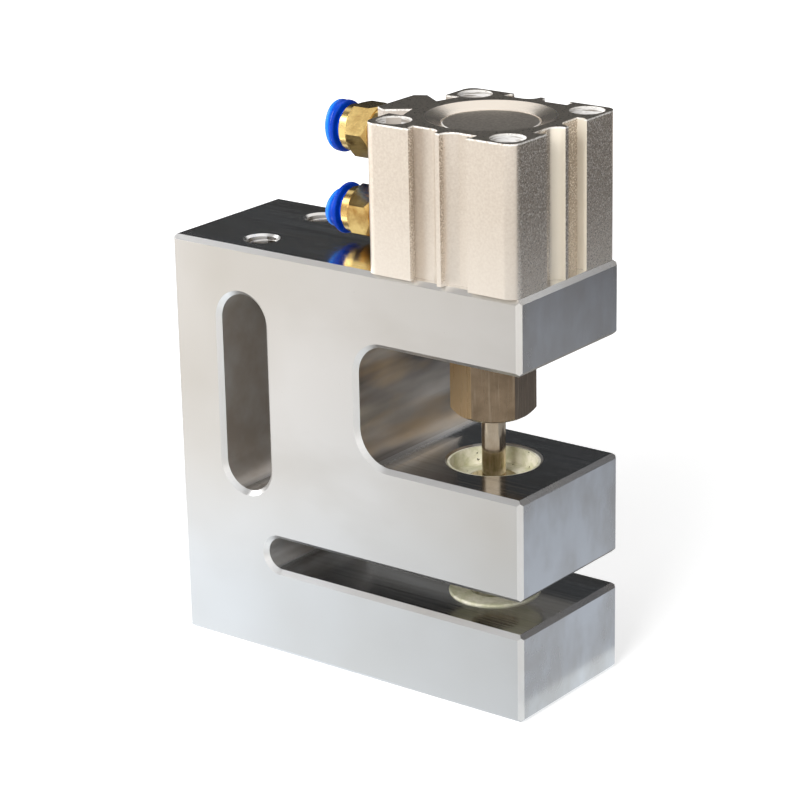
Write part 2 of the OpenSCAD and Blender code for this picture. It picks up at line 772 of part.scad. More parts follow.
module hex_coupler() {
    color("rosybrown") translate([axis_x, 0, coupler_z]) rotate(coupler_turn) difference() {
        chamfered_hex(coupler_af, coupler_l, coupler_face_r, coupler_chamfer_a);
        translate([0, 0, coupler_l - stud_low_l - land])
            cylinder(h = stud_low_l + land + over, r = stud_r + slide_gap);
        translate([0, 0, -over]) cylinder(h = shank_grip + over, r = shank_r + seat_gap);
        rotate(90) translate([0, 0, shank_grip / 2]) rotate([0, 90, 0])
            cylinder(h = coupler_af, r = grub_r + slide_gap);
    }
}

module punch() {
    color("slategray") translate([axis_x, 0, 0]) union() {
        translate([0, 0, bush_floor_z - over])
            cylinder(h = shank_top_z - bush_floor_z + over, r = shank_r);
        rotate_extrude()
            polygon([[0, punch_z], [punch_r, punch_z], [punch_r, punch_z + punch_land_l],
                     [punch_r - punch_relief, punch_z + punch_land_l],
                     [punch_r - punch_relief, punch_z + punch_land_l + punch_relief_l],
                     [punch_r, punch_z + punch_land_l + punch_relief_l],
                     [punch_r, bush_floor_z - punch_relief],
                     [punch_r - punch_relief, bush_floor_z], [0, bush_floor_z]]);
    }
}

module punch_grub_screw() {
    length = 6;
    key_af = 2.5;
    key_h = 2;
    color("black") translate([axis_x, 0, grub_z]) rotate(coupler_turn) rotate(90)
        rotate([0, 90, 0]) translate([0, 0, shank_r]) difference() {
            cylinder(h = length, r = grub_r);
            translate([0, 0, length - key_h])
                cylinder(h = key_h + over, d = key_af / cos(hex_half_a), $fn = 6);
        }
}

c_frame();
guide_bush();
die_ring();
cylinder_tube();
head_plate();
rod_cover();
rod_bush();
rod_seal();
rod_cover_o_ring();
rod_cover_snap_ring();
cylinder_screws();
upper_fitting_body();
upper_fitting_o_ring();
upper_tube_seal();
upper_collet();
upper_release_collar();
lower_fitting_body();
lower_fitting_o_ring();
lower_tube_seal();
lower_collet();
lower_release_collar();
piston();
piston_seal();
piston_wear_ring();
piston_bumpers();
piston_rod();
coupler_stud();
hex_coupler();
punch();
punch_grub_screw();
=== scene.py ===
"""Looks of the pneumatic punching machine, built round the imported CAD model.
Metres, +Z up, origin at the middle of the base, +X to the open ends of the arms."""

import json
from math import cos, radians, sin

import bpy
from mathutils import Matrix, Vector


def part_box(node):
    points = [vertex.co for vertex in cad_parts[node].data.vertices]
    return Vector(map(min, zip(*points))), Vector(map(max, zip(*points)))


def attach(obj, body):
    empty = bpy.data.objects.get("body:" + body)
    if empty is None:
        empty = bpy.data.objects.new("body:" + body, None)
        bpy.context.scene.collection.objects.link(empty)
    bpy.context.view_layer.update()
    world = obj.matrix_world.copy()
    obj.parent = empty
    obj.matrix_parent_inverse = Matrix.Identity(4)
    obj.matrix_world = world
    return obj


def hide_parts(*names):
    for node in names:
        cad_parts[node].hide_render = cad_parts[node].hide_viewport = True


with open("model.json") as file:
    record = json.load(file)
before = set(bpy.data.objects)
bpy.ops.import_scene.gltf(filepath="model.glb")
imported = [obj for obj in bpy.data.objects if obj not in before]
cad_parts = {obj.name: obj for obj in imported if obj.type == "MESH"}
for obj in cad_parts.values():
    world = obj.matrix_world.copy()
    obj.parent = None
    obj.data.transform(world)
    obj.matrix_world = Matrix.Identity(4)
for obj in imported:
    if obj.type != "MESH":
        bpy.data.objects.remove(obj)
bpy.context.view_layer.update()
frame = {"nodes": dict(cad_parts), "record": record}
nodes = frame["nodes"]
MM = 0.001

# Places and sizes that repeat the source's, in metres
FRAME_TOP = 111.5 * MM
BODY_TOP = 149.9 * MM  # of the cylinder body
AXIS_X = 31.9 * MM  # of the cylinder
SCREW_AT = 17 * MM  # from the axis, along x and y
SCREW_HOLE_R = 4.75 * MM  # a little over the hole's own radius
TAPPED_X, TAPPED_Y = -32.5 * MM, 12.5 * MM
TAPPED_R = 4.25 * MM
COLLAR_R, COLLAR_RING_R = 6.9 * MM, 6.75 * MM
COLLAR_NECK_R, COLLAR_BORE_R = 4.85 * MM, 4.1 * MM
COLLAR_GAP = 1.0 * MM  # between a collar's ring and the brass
COLLAR_RING_SHARE = 0.34  # of a collar's length outside the brass; the flange has the rest
COLLAR_WAIST = {"upper": 0.86, "lower": 0.74}  # the flange's short radius, over its long one
COLLAR_TURN = {"upper": radians(10), "lower": radians(96)}  # from +z to the long radius
COLLAR_POINTS = 32  # round each ring of the mesh

# Bounds of the places that a look treats in their own way
END_X = 54 * MM  # a wall nearer the middle than this isn't the frame's end
STAIN_X = -10 * MM  # the throat and the slot are stained beyond this, the window isn't
WINDOW_TOP = 98.5 * MM  # just above the frame's window, which the tapped holes open into
TAPPED_REACH_X, TAPPED_REACH_Y = 7.5 * MM, 18 * MM  # from TAPPED_X, and from the middle
COOL_FROM, COOL_TO = 50 * MM, 20 * MM  # heights between which a painted reflection turns the sides cooler
HIGH_FROM, HIGH_TO = 70 * MM, 110 * MM  # heights between which painted light turns tops and ends brighter
PALE_FROM = BODY_TOP - 18 * MM  # the cylinder body turns paler from here down to the frame
LIP_FOOT = BODY_TOP - 0.5 * MM  # foot of the painted highlight round the body's top edge
DARK_FROM = BODY_TOP - 2 * MM  # painted shade darkens the screw holes below this
POCKET_X, POCKET_Y = 13.8 * MM, 15 * MM  # the pocket walls beside the port boss are within these
GROOVE_X, GROOVE_Y = 46 * MM, 18 * MM  # the groove walls, which get a painted highlight, lie beyond this x and within this y
FLANGE_X = -14.6 * MM  # middle of the change to the painted highlight on the collars' outer end

# Thread ridges in the tapped holes
THREAD_START = 1.4 * MM  # below the frame's top
THREAD_PITCH, THREAD_HEIGHT = 1.5 * MM, 0.35 * MM
THREAD_ROOT = 0.05 * MM  # how far a ridge reaches into the wall
THREAD_TURNS, THREAD_STEPS = 8, 40  # and steps in each turn

# Widths of the broken edges, by CAD node
BROKEN_EDGES = {"cylinder_tube": 0.22 * MM, "head_plate": 0.3 * MM, "hex_coupler": 0.25 * MM,
                "upper_fitting_body": 0.2 * MM, "lower_fitting_body": 0.2 * MM}
EDGE_ANGLE = radians(35)
WELD_REACH = 0.001 * MM

# Light: strengths of which 1 is white, and distances in metres from the middle of the base
WORLD_LIGHT = 0.35
LAMP_AIM = Vector((0, 0, 60)) * MM
FLOOR_REACH, FLOOR_COLOUR = 6.0, (0.8, 0.8, 0.8, 1)
# The floor's glow for the camera near the object, and where it rises to 1
FLOOR_LIFT, LIFT_FROM, LIFT_TO = 0.56, 0.12, 0.6
# Its glow for reflections: a place times GLOW_SLOPE, from one range to the other
GLOW_SLOPE = (-3.16, 2.73, 0)
GLOW_FROM, GLOW_TO = -0.43, 0.2
GLOW_LOW, GLOW_HIGH = 0.64, 1.31
# The colour of that glow near the object and far off, and where it changes
TONE_NEAR, TONE_FAR = (0.92, 0.965, 1), (1, 0.97, 0.93)
TONE_FROM, TONE_TO = 0.08, 0.3
# Where a card's grey changes
FLAG_FROM, FLAG_TO = 0.1, 0.46

# Camera: where the photograph was taken from, as solved from its straight edges
VIEW_TURN = radians(37.39)
VIEW_RISE = radians(19.11)
VIEW_ROLL = radians(-1.132)
VIEW_DISTANCE = 760.3 * MM
VIEW_AIM = Vector((0.25, 0.3, 55.75)) * MM
VIEW_OFFSET = Vector((1.754, 10.188)) * MM
VIEW_LENS = 130.27
VIEW_SHIFT = (-0.0038, 0.0147)


def new_piece(name, points, faces, body, slot, node=None):
    """A smooth mesh piece that rides on body, and takes a CAD node's place where one is given."""
    mesh = bpy.data.meshes.new(name)
    mesh.from_pydata([tuple(p) for p in points], [], faces)
    mesh.validate()
    for polygon in mesh.polygons:
        polygon.use_smooth = True
    piece = bpy.data.objects.new(name, mesh)
    bpy.context.collection.objects.link(piece)
    mesh.materials.append(LOOKS[slot])
    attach(piece, body)
    if node:
        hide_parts(node)
    return piece


def loft(rings):
    """Points and quads of a closed surface through rings of equally many points, and back
    from the last ring to the first."""
    count = len(rings[0])
    points = [p for ring in rings for p in ring]
    faces = []
    for i in range(len(rings)):
        low, high = i * count, (i + 1) % len(rings) * count
        for j in range(count):
            k = (j + 1) % count
            faces.append((low + j, high + j, high + k, low + k))
    return points, faces


def round_edges(name, width):
    """Break the sharp edges of a CAD node a little, so that they catch the light."""
    weld = nodes[name].modifiers.new("joined", "WELD")
    weld.merge_threshold = WELD_REACH
    modifier = nodes[name].modifiers.new("broken_edges", "BEVEL")
    modifier.width, modifier.segments = width, 3
    modifier.limit_method, modifier.angle_limit = "ANGLE", EDGE_ANGLE
    modifier.harden_normals = False


def make_collar(side):
    """A moulded release collar: a round ring by the brass, then a rounded oval flange."""
    low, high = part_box(f"{side}_release_collar")
    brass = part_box(f"{side}_fitting_body")[0][0]
    centre_y, centre_z = (low[1] + high[1]) / 2, (low[2] + high[2]) / 2
    inner, start, outer = high[0], brass - COLLAR_GAP, low[0]
    step = start - (start - outer) * COLLAR_RING_SHARE
    angles = [i * radians(360 / COLLAR_POINTS) for i in range(COLLAR_POINTS)]

    def circle(x, r):
        return [(x, centre_y - r * sin(a), centre_z + r * cos(a)) for a in angles]

    def oval(x, grow):
        """Outline of the flange, an ellipse turned by the collar's own angle."""
        long, short = COLLAR_R * grow, COLLAR_R * grow * COLLAR_WAIST[side]
        ring = []
        for a in angles:
            b, c = cos(a - COLLAR_TURN[side]), sin(a - COLLAR_TURN[side])
            r = (b * b / long ** 2 + c * c / short ** 2) ** -0.5
            ring.append((x, centre_y - r * sin(a), centre_z + r * cos(a)))
        return ring

    rings = [
        # The neck in the brass, and the sharp corner where it meets the ring
        circle(inner, COLLAR_BORE_R),
        circle(inner, COLLAR_NECK_R),
        circle(start + 0.4 * MM, COLLAR_NECK_R),
        circle(start + 0.06 * MM, COLLAR_NECK_R),
        circle(start, COLLAR_NECK_R + 0.15 * MM),
        # The round ring
        circle(start, COLLAR_RING_R - 0.6 * MM),
        circle(start - 0.12 * MM, COLLAR_RING_R - 0.1 * MM),
        circle(start - 0.5 * MM, COLLAR_RING_R),
        circle(step + 0.15 * MM, COLLAR_RING_R),
        # The flange
        oval(step - 0.1 * MM, 0.97),
        oval(step - 0.5 * MM, 1.0),
        oval(outer + 1.2 * MM, 1.0),
        oval(outer + 0.4 * MM, 0.95),
        oval(outer, 0.82),
        # The mouth of the bore
        circle(outer, COLLAR_NECK_R),
        circle(outer + 0.5 * MM, COLLAR_BORE_R + 0.1 * MM),
        circle(outer + 1.2 * MM, COLLAR_BORE_R),
    ]
    piece = new_piece(f"{side}_collar_moulding", *loft(rings), f"{side}_collar", "blue_plastic",
                      f"{side}_release_collar")
    modifier = piece.modifiers.new("rounded", "SUBSURF")
    modifier.levels = modifier.render_levels = 2


def make_thread(name, y):
    """Ridges of a screw thread that stand in from the wall of a tapped hole."""
    top = FRAME_TOP - THREAD_START
    count = THREAD_STEPS * THREAD_TURNS
    wide, narrow = THREAD_PITCH * 0.46, THREAD_PITCH * 0.08
    root = TAPPED_R + THREAD_ROOT
    points, faces = [], []
    for i in range(count + 1):
        a = i * radians(360 / THREAD_STEPS)
        fade = min(1.0, i / THREAD_STEPS, (count - i) / THREAD_STEPS)
        z = top - THREAD_PITCH * i / THREAD_STEPS
        crest = TAPPED_R - THREAD_HEIGHT * fade
        for r, dz in ((root, wide), (crest, narrow), (crest, -narrow), (root, -wide)):
            points.append((TAPPED_X + r * cos(a), y + r * sin(a), z + dz))
    for i in range(count):
        low = i * 4
        for j in range(4):
            k = (j + 1) % 4
            faces.append((low + j, low + j + 4, low + k + 4, low + k))
    last = count * 4
    faces += [(0, 1, 2, 3), (last + 3, last + 2, last + 1, last)]
    new_piece(name, points, faces, "frame", "ground_steel")


def make_camera():
    """The camera at the photograph's place, turn and framing."""
    right = Vector((cos(VIEW_TURN), sin(VIEW_TURN), 0))
    back = Vector((sin(VIEW_TURN) * cos(VIEW_RISE), -cos(VIEW_TURN) * cos(VIEW_RISE),
                   sin(VIEW_RISE)))
    up = back.cross(right)
    roll = Matrix.Rotation(VIEW_ROLL, 3, back)
    right, up = roll @ right, roll @ up
    camera = bpy.data.objects.new("camera", bpy.data.cameras.new("camera"))
    camera.data.lens = VIEW_LENS
    camera.data.shift_x, camera.data.shift_y = VIEW_SHIFT
    place = VIEW_AIM + back * VIEW_DISTANCE + right * VIEW_OFFSET.x + up * VIEW_OFFSET.y
    axes = Matrix((right, up, back)).transposed()
    camera.matrix_world = Matrix.Translation(place) @ axes.to_4x4()
    bpy.context.collection.objects.link(camera)
    bpy.context.scene.camera = camera


def set_inputs(tree, node, values):
    """Link or set a node's inputs, by name or number."""
    for key, value in values.items():
        if isinstance(value, bpy.types.NodeSocket):
            tree.links.new(value, node.inputs[key])
        else:
            node.inputs[key].default_value = value


def add_node(tree, kind, inputs=None, **settings):
    node = tree.nodes.new(kind)
    for key, value in settings.items():
        setattr(node, key, value)
    set_inputs(tree, node, inputs or {})
    return node


def spread(tree, value, low, high, to_low=0.0, to_high=1.0):
    """value's stretch from low to high, moved to to_low..to_high and held there."""
    inputs = {"Value": value, "From Min": low, "From Max": high,
              "To Min": to_low, "To Max": to_high}
    return add_node(tree, "ShaderNodeMapRange", inputs).outputs[0]


def mix(tree, amount, a, b):
    """Colour a where amount is 0, b where it is 1."""
    a, b = [c if isinstance(c, bpy.types.NodeSocket) else (*c, 1) for c in (a, b)]
    return add_node(tree, "ShaderNodeMix", {0: amount, 6: a, 7: b}, data_type="RGBA").outputs[2]


def distance(tree):
    """Metres from the middle of the object's base."""
    place = add_node(tree, "ShaderNodeTexCoord").outputs["Object"]
    return add_node(tree, "ShaderNodeVectorMath", {0: place}, operation="LENGTH").outputs["Value"]


def shade(hexa):
    """A colour as seen on screen, such as '#C0A080', in linear values."""
    parts = [int(hexa[i:i + 2], 16) / 255 for i in (1, 3, 5)]
    return tuple(p / 12.92 if p <= 0.04045 else ((p + 0.055) / 1.055) ** 2.4 for p in parts)


class Look:
    """A material round one Principled shader, with short calls for its nodes."""

    def __init__(self, name, colour, metallic=0.0, roughness=0.4, specular=0.5):
        self.material = bpy.data.materials.new(name)
        self.material.use_nodes = True
        self.tree = self.material.node_tree
        self.set({"Base Color": (*colour, 1), "Metallic": metallic,
                  "Roughness": roughness, "Specular IOR Level": specular})
        self.place = self.add("ShaderNodeTexCoord").outputs["Object"]

    def set(self, values):
        """Link or set the shader's own inputs."""
        set_inputs(self.tree, self.tree.nodes["Principled BSDF"], values)

    def add(self, kind, inputs=None, **settings):
        return add_node(self.tree, kind, inputs, **settings)

    def stretched(self, scale):
        return self.add("ShaderNodeMapping", {"Vector": self.place, "Scale": scale}).outputs[0]

    def noise(self, scale, detail=3, rough=0.5, vector=None):
        """Noise whose cells are about 1 / scale metres wide."""
        inputs = {"Vector": vector or self.place, "Scale": scale,
                  "Detail": detail, "Roughness": rough}
        return self.add("ShaderNodeTexNoise", inputs).outputs[0]

    def streaks(self, along, scale, ratio, detail=3):
        """Noise drawn out along one axis, such as 'x', by ratio."""
        stretch = [1 / ratio if axis == along else 1 for axis in "xyz"]
        return self.noise(scale, detail, 0.6, self.stretched(stretch))

    def grains(self):
        """The fine, coarse and drawn-out noise of blasted aluminium."""
        return self.noise(4200, 2, 0.7), self.noise(1500, 3, 0.6), self.streaks("z", 700, 80)

    def grain_height(self, grain, coarse, lines):
        """The three noises of grains() together, for a bump."""
        return self.math("ADD", self.math("ADD", grain, coarse), self.times(lines, 0.4))

    def along(self, axis):
        """Place along an axis, such as 'x', in metres."""
        parts = self.add("ShaderNodeSeparateXYZ", {"Vector": self.place})
        return parts.outputs["xyz".index(axis)]

    def math(self, operation, a, b=0.0):
        return self.add("ShaderNodeMath", {0: a, 1: b}, operation=operation).outputs[0]

    def times(self, first, *others):
        for other in others:
            first = self.math("MULTIPLY", first, other)
        return first

    def within(self, axis, limit):
        """1 where the place along axis is less than limit from the middle."""
        return self.math("LESS_THAN", self.math("ABSOLUTE", self.along(axis)), limit)

    def spread(self, *values):
        return spread(self.tree, *values)

    def mix(self, amount, a, b):
        return mix(self.tree, amount, a, b)

    def choose(self, amount, a, b):
        """Number a where amount is 0, b where it is 1."""
        return self.spread(amount, 0.0, 1.0, a, b)

    def normal_parts(self, kind="True Normal"):
        """The x, y and z of a face's direction."""
        normal = self.add("ShaderNodeNewGeometry").outputs[kind]
        return self.add("ShaderNodeSeparateXYZ", {"Vector": normal}).outputs

    def sizes_of_normal(self):
        """The same without their signs."""
        return [self.math("ABSOLUTE", part) for part in self.normal_parts()]

    def bump(self, height, distance, strength):
        inputs = {"Height": height, "Distance": distance, "Strength": strength}
        return self.add("ShaderNodeBump", inputs).outputs[0]

    def wear(self, colour, roughness, normal):
        """Link the finished colour, roughness and bump, and return the material."""
        self.set({"Base Color": colour, "Roughness": roughness, "Normal": normal})
        return self.material


def ground_steel():
    """The frame: ground faces with fine streaks, satin sides, and milled openings."""
    look = Look("ground_steel", shade("#E6E3DE"), metallic=1.0)
    nx, ny, nz = look.sizes_of_normal()
    x, z = look.along("x"), look.along("z")

    # Faces that look along y, those that look along z, and the slopes between
    side = look.spread(ny, 0.95, 0.99)
    top = look.spread(nz, 0.95, 0.99)
    slope = look.times(look.spread(ny, 0.3, 0.4), look.spread(ny, 0.95, 0.9))

    along = look.streaks("x", 1300, 60)
    across = look.streaks("y", 900, 40)
    cloud = look.noise(18, 3, 0.45)
    smear = look.noise(60, 4, 0.55, look.stretched((0.3, 1, 0.6)))
    specks = look.noise(1500, 2, 0.6)

    # Walls of the throat, slot and window
    inner = look.times(look.spread(nx, 0.2, 0.5), look.spread(ny, 0.5, 0.3),
                       look.spread(x, END_X, END_X - 2 * MM), look.math("GREATER_THAN", x, -END_X),
                       look.spread(z, WINDOW_TOP, WINDOW_TOP - 0.5 * MM))
    throat = look.math("GREATER_THAN", x, STAIN_X)
    mottle = look.spread(look.noise(45, 4, 0.6), 0.4, 0.65)
    stain = look.spread(look.noise(42, 4, 0.5, look.stretched((1, 0.16, 1))), 0.43, 0.58, 0, 0.95)
    gold = look.spread(look.noise(55, 4, 0.5, look.stretched((1, 0.25, 1))), 0.5, 0.66, 0, 0.75)
    worn = look.mix(mottle, shade("#C9C6C1"), shade("#AFA396"))
    worn = look.mix(look.times(throat, 0.55), worn, shade("#EFE3D2"))
    worn = look.mix(look.times(throat, stain), worn, shade("#3E2D1C"))
    worn = look.mix(look.times(throat, gold), worn, shade("#E0B878"))

    # Walls of the tapped holes, below their mouths: painted shade turns them dark brown
    right = TAPPED_X + TAPPED_REACH_X
    hole_shade = look.times(look.spread(nz, 0.8, 0.6), look.spread(x, right + 0.5 * MM, right),
                       look.math("GREATER_THAN", x, TAPPED_X - TAPPED_REACH_X),
                       look.within("y", TAPPED_REACH_Y),
                       look.spread(z, WINDOW_TOP, WINDOW_TOP + 0.5 * MM),
                       look.spread(z, FRAME_TOP - 1 * MM, FRAME_TOP - 2 * MM))

    # Sides: satin, with soft smears, and a cool painted reflection low down
    tint = look.mix(look.spread(cloud, 0.35, 0.65), shade("#E4E2E0"), shade("#D8D4CE"))
    tint = look.mix(look.spread(smear, 0.55, 0.8, 0, 0.4), tint, shade("#C9C4BD"))
    tint = look.mix(look.spread(z, COOL_FROM, COOL_TO, 0, 0.35), tint, shade("#DEE3E9"))

    # Tops and ends: painted light makes them brighter high up, and a few long dark streaks on the
    # tops
    low = look.mix(look.spread(smear, 0.4, 0.7), shade("#D9DBDE"), shade("#C2BFBB"))
    high = look.mix(look.spread(smear, 0.4, 0.7), shade("#F6F6F6"), shade("#E0DBD4"))
    dull = look.mix(look.spread(z, HIGH_FROM, HIGH_TO), low, high)
    streak = look.times(top, look.spread(look.streaks("x", 700, 40, 5), 0.5, 0.7, 0, 0.35))
    dull = look.mix(streak, dull, shade("#8F8B86"))

    # All together, with dark specks and a painted highlight on the slopes
    tint = look.mix(side, dull, tint)
    tint = look.mix(look.times(inner, 0.85), tint, worn)
    tint = look.mix(look.spread(specks, 0.72, 0.8, 0, 0.35), tint, shade("#8E8880"))
    # Painted shade down the tapped holes
    tint = look.mix(hole_shade, tint, shade("#75695B"))
    # Painted highlight on the slopes: near white, and less metallic so that the lamp lights it
    slope_highlight = look.times(slope, look.spread(nz, 0.3, 0.6, 1.0, 0.35))
    tint = look.mix(look.times(slope_highlight, 0.6), tint, shade("#F8F6F2"))
    metal = look.choose(slope_highlight, look.choose(inner, 1.0, 0.65), 0.68)
    look.set({"Metallic": metal})

    # Polish and grain
    rough = look.choose(top, look.spread(smear, 0.3, 0.7, 0.2, 0.3),
                        look.spread(along, 0.3, 0.7, 0.08, 0.24))
    rough = look.choose(side, rough, look.spread(cloud, 0.3, 0.7, 0.33, 0.47))
    rough = look.choose(slope, rough, 0.3)
    rough = look.choose(inner, rough, 0.38)
    grain = look.choose(top, look.choose(side, across, look.times(along, 0.35)), along)
    height = look.math("ADD", grain, look.times(specks, 0.12))
    return look.wear(tint, rough, look.bump(height, 0.006 * MM, 0.5))


def near_screws(look):
    """1 inside the four screw holes of the cylinder body."""
    from_axis = look.math("SUBTRACT", look.along("x"), AXIS_X)
    u = look.math("SUBTRACT", look.math("ABSOLUTE", from_axis), SCREW_AT)
    v = look.math("SUBTRACT", look.math("ABSOLUTE", look.along("y")), SCREW_AT)
    squares = look.math("ADD", look.times(u, u), look.times(v, v))
    return look.math("LESS_THAN", squares, SCREW_HOLE_R ** 2)


def cylinder_aluminium(name, colour, dark):
    """The cylinder body: blasted outside, with a faced top, a turned dish and bright holes, and
    with painted glints, painted highlights and painted shade.
    """
    look = Look(name, shade(colour), metallic=1.0)
    nx, ny, nz = look.sizes_of_normal()
    x, z = look.along("x"), look.along("z")
    grain, coarse, lines = look.grains()

    # Faced top, slopes, upright walls, cuts from the top, sides that look along x and y, groove
    # walls that get a painted highlight, and lip, a painted highlight round the top edge
    flat = look.spread(nz, 0.97, 0.99)
    slope = look.times(look.spread(nz, 0.15, 0.25), look.spread(nz, 0.99, 0.97))
    upright = look.spread(nz, 0.2, 0.1)
    hole = look.times(near_screws(look), upright)
    pocket = look.times(look.spread(x, POCKET_X + 0.1 * MM, POCKET_X), upright,
                        look.within("y", POCKET_Y), look.spread(ny, 0.3, 0.5))
    cut = look.math("MAXIMUM", hole, pocket)
    side = look.spread(nx, 0.9, 0.98)
    front = look.spread(ny, 0.4, 0.6)
    groove_highlight = look.times(look.spread(x, GROOVE_X, GROOVE_X + 0.2 * MM), look.spread(ny, 0.3, 0.5),
                        look.within("y", GROOVE_Y), upright)
    lip_highlight = look.times(look.spread(z, LIP_FOOT, LIP_FOOT + 0.1 * MM), upright,
                     look.spread(coarse, 0.38, 0.5, 0.25, 1))

    # Outside: pale grains on drawn metal, coarser on the x sides, painted glints that are stronger
    # on the faces that look along y, paler at the foot
    tint = look.mix(look.spread(coarse, 0.3, 0.7), shade(dark), shade(colour))
    tint = look.mix(look.spread(lines, 0.55, 0.75, 0, 0.3), tint, shade(dark))
    salt = look.spread(look.noise(2600, 2, 0.6), 0.5, 0.62)
    salt = look.mix(salt, shade("#AEA193"), shade("#FFFBF4"))
    tint = look.mix(look.times(side, 0.75), tint, salt)
    # Painted glints: grains tinted near white, more on the faces that look along y
    painted_glints = look.spread(grain, 0.6, 0.7, 0, look.choose(front, 0.6, 0.25))
    tint = look.mix(painted_glints, tint, shade("#FFFBF4"))
    tint = look.mix(look.spread(z, PALE_FROM, FRAME_TOP, 0, 0.6), tint, shade("#F7EFE4"))
    faced = look.mix(look.spread(coarse, 0.4, 0.6), shade("#B9B0A4"), shade("#CDC4B8"))
    tint = look.mix(flat, tint, faced)
    tint = look.mix(slope, tint, shade("#F7ECDE"))
    # Painted highlight on the groove walls
    tint = look.mix(look.times(groove_highlight, 0.85), tint, shade("#FFF6E4"))

    # Cuts: bright turned rings, painted shade farther down a hole, plain in the pocket
    rings = look.noise(1800, 3, 0.6, look.stretched((0.1, 0.1, 1)))
    # Painted shade farther down the screw holes
    deep = look.times(hole, look.spread(z, DARK_FROM, DARK_FROM - 0.4 * MM))
    turned = look.mix(look.spread(rings, 0.45, 0.65), shade("#FFFDFA"), shade("#A79F96"))
    turned = look.mix(deep, turned, shade("#5E574F"))
    turned = look.mix(pocket, turned, shade("#CBC2B8"))
    tint = look.mix(cut, tint, turned)
    # Painted highlight round the body's top edge
    tint = look.mix(lip_highlight, tint, shade("#FFFCF6"))

    # Metal, polish and grain
    metal = look.choose(cut, look.choose(groove_highlight, 0.7, 0.4), 0.3)
    metal = look.choose(look.math("MAXIMUM", flat, slope), metal, 1.0)
    look.set({"Metallic": look.choose(lip_highlight, metal, 0.15)})
    rough = look.choose(front, look.spread(grain, 0.3, 0.7, 0.24, 0.38), 0.34)
    rough = look.choose(flat, rough, look.spread(coarse, 0.3, 0.7, 0.26, 0.36))
    rough = look.choose(slope, rough, 0.26)
    rough = look.choose(cut, rough, 0.6)
    smooth = look.math("SUBTRACT", 1.0, look.math("MAXIMUM", slope, look.times(flat, 0.7)))
    height = look.times(look.grain_height(grain, coarse, lines),
                        look.choose(front, 1.0, 0.05), smooth)
    return look.wear(tint, rough, look.bump(height, 0.01 * MM, 0.5))


def blasted_aluminium(name, colour, dark):
    """Fine blasted metal with painted glints on small grains and a painted highlight on the turned
    rim.
    """
    look = Look(name, shade(colour), metallic=1.0)
    grain, coarse, lines = look.grains()
    tint = look.mix(look.spread(coarse, 0.35, 0.65), shade(dark), shade(colour))
    tint = look.mix(look.spread(lines, 0.55, 0.75, 0, 0.3), tint, shade(dark))
    # Painted glints: small grains tinted near white
    tint = look.mix(look.spread(grain, 0.62, 0.72, 0, 0.7), tint, shade("#FFFBF2"))
    # Painted highlight: the sloped rim tinted near white and made less metallic
    rim_highlight = look.spread(look.sizes_of_normal()[2], 0.97, 0.9)
    tint = look.mix(rim_highlight, tint, shade("#FFFCF6"))
    look.set({"Metallic": look.choose(rim_highlight, 1.0, 0.15)})
    rough = look.spread(grain, 0.3, 0.7, 0.28, 0.42)
    height = look.grain_height(grain, coarse, lines)
    return look.wear(tint, rough, look.bump(height, 0.02 * MM, 0.5))


def turned_metal(name, colour, dark, roughness, along="z"):
    """Bright turned or drawn metal with streaks along its length and a little staining."""
    look = Look(name, shade(colour), metallic=1.0)
    streaks = look.streaks(along, 900, 25)
    stain = look.noise(160, 4, 0.6)
    tint = look.mix(look.spread(stain, 0.4, 0.75), shade(colour), shade(dark))
    rough = look.spread(streaks, 0.3, 0.7, roughness * 0.7, roughness * 1.4)
    return look.wear(tint, rough, look.bump(streaks, 0.01 * MM, 0.4))


def filled_cup(name):
    """Pale creamy tool steel with a film of dried cream residue, mottled and half matt."""
    look = Look(name, shade("#E8E2C4"))
    blotch = look.noise(260, 4, 0.6)
    fine = look.noise(1400, 3, 0.6)
    pits = look.noise(700, 2, 0.5)
    tint = look.mix(look.spread(blotch, 0.38, 0.62), shade("#FBF6E4"), shade("#D4D2B2"))
    tint = look.mix(look.spread(fine, 0.6, 0.75, 0, 0.5), tint, shade("#F2ECD2"))
    tint = look.mix(look.spread(pits, 0.72, 0.76), tint, shade("#4A452F"))
    rough = look.spread(blotch, 0.3, 0.7, 0.35, 0.55)
    height = look.math("ADD", blotch, look.times(fine, 0.4))
    return look.wear(tint, rough, look.bump(height, 0.05 * MM, 0.5))


def moulded_plastic(name, colour, deep, highlight_colour=None):
    """Smooth plastic; the last argument colours a painted highlight on the collars' outer ends."""
    look = Look(name, shade(colour), roughness=0.22, specular=0.25)
    tint = look.mix(look.spread(look.noise(220, 3), 0.3, 0.7), shade(colour), shade(deep))
    if highlight_colour:
        # Painted highlight: the collars' outer ends that face along -x turn paler
        rim_highlight = look.times(look.spread(look.along("x"), FLANGE_X + 0.5 * MM, FLANGE_X - 0.5 * MM),
                         look.spread(look.normal_parts("Normal")[0], 0.45, -0.05))
        tint = look.mix(rim_highlight, tint, shade(highlight_colour))
    rough = look.spread(look.noise(900, 2), 0.3, 0.7, 0.176, 0.286)
    return look.wear(tint, rough, look.bump(look.noise(1500, 2), 0.008 * MM, 0.3))


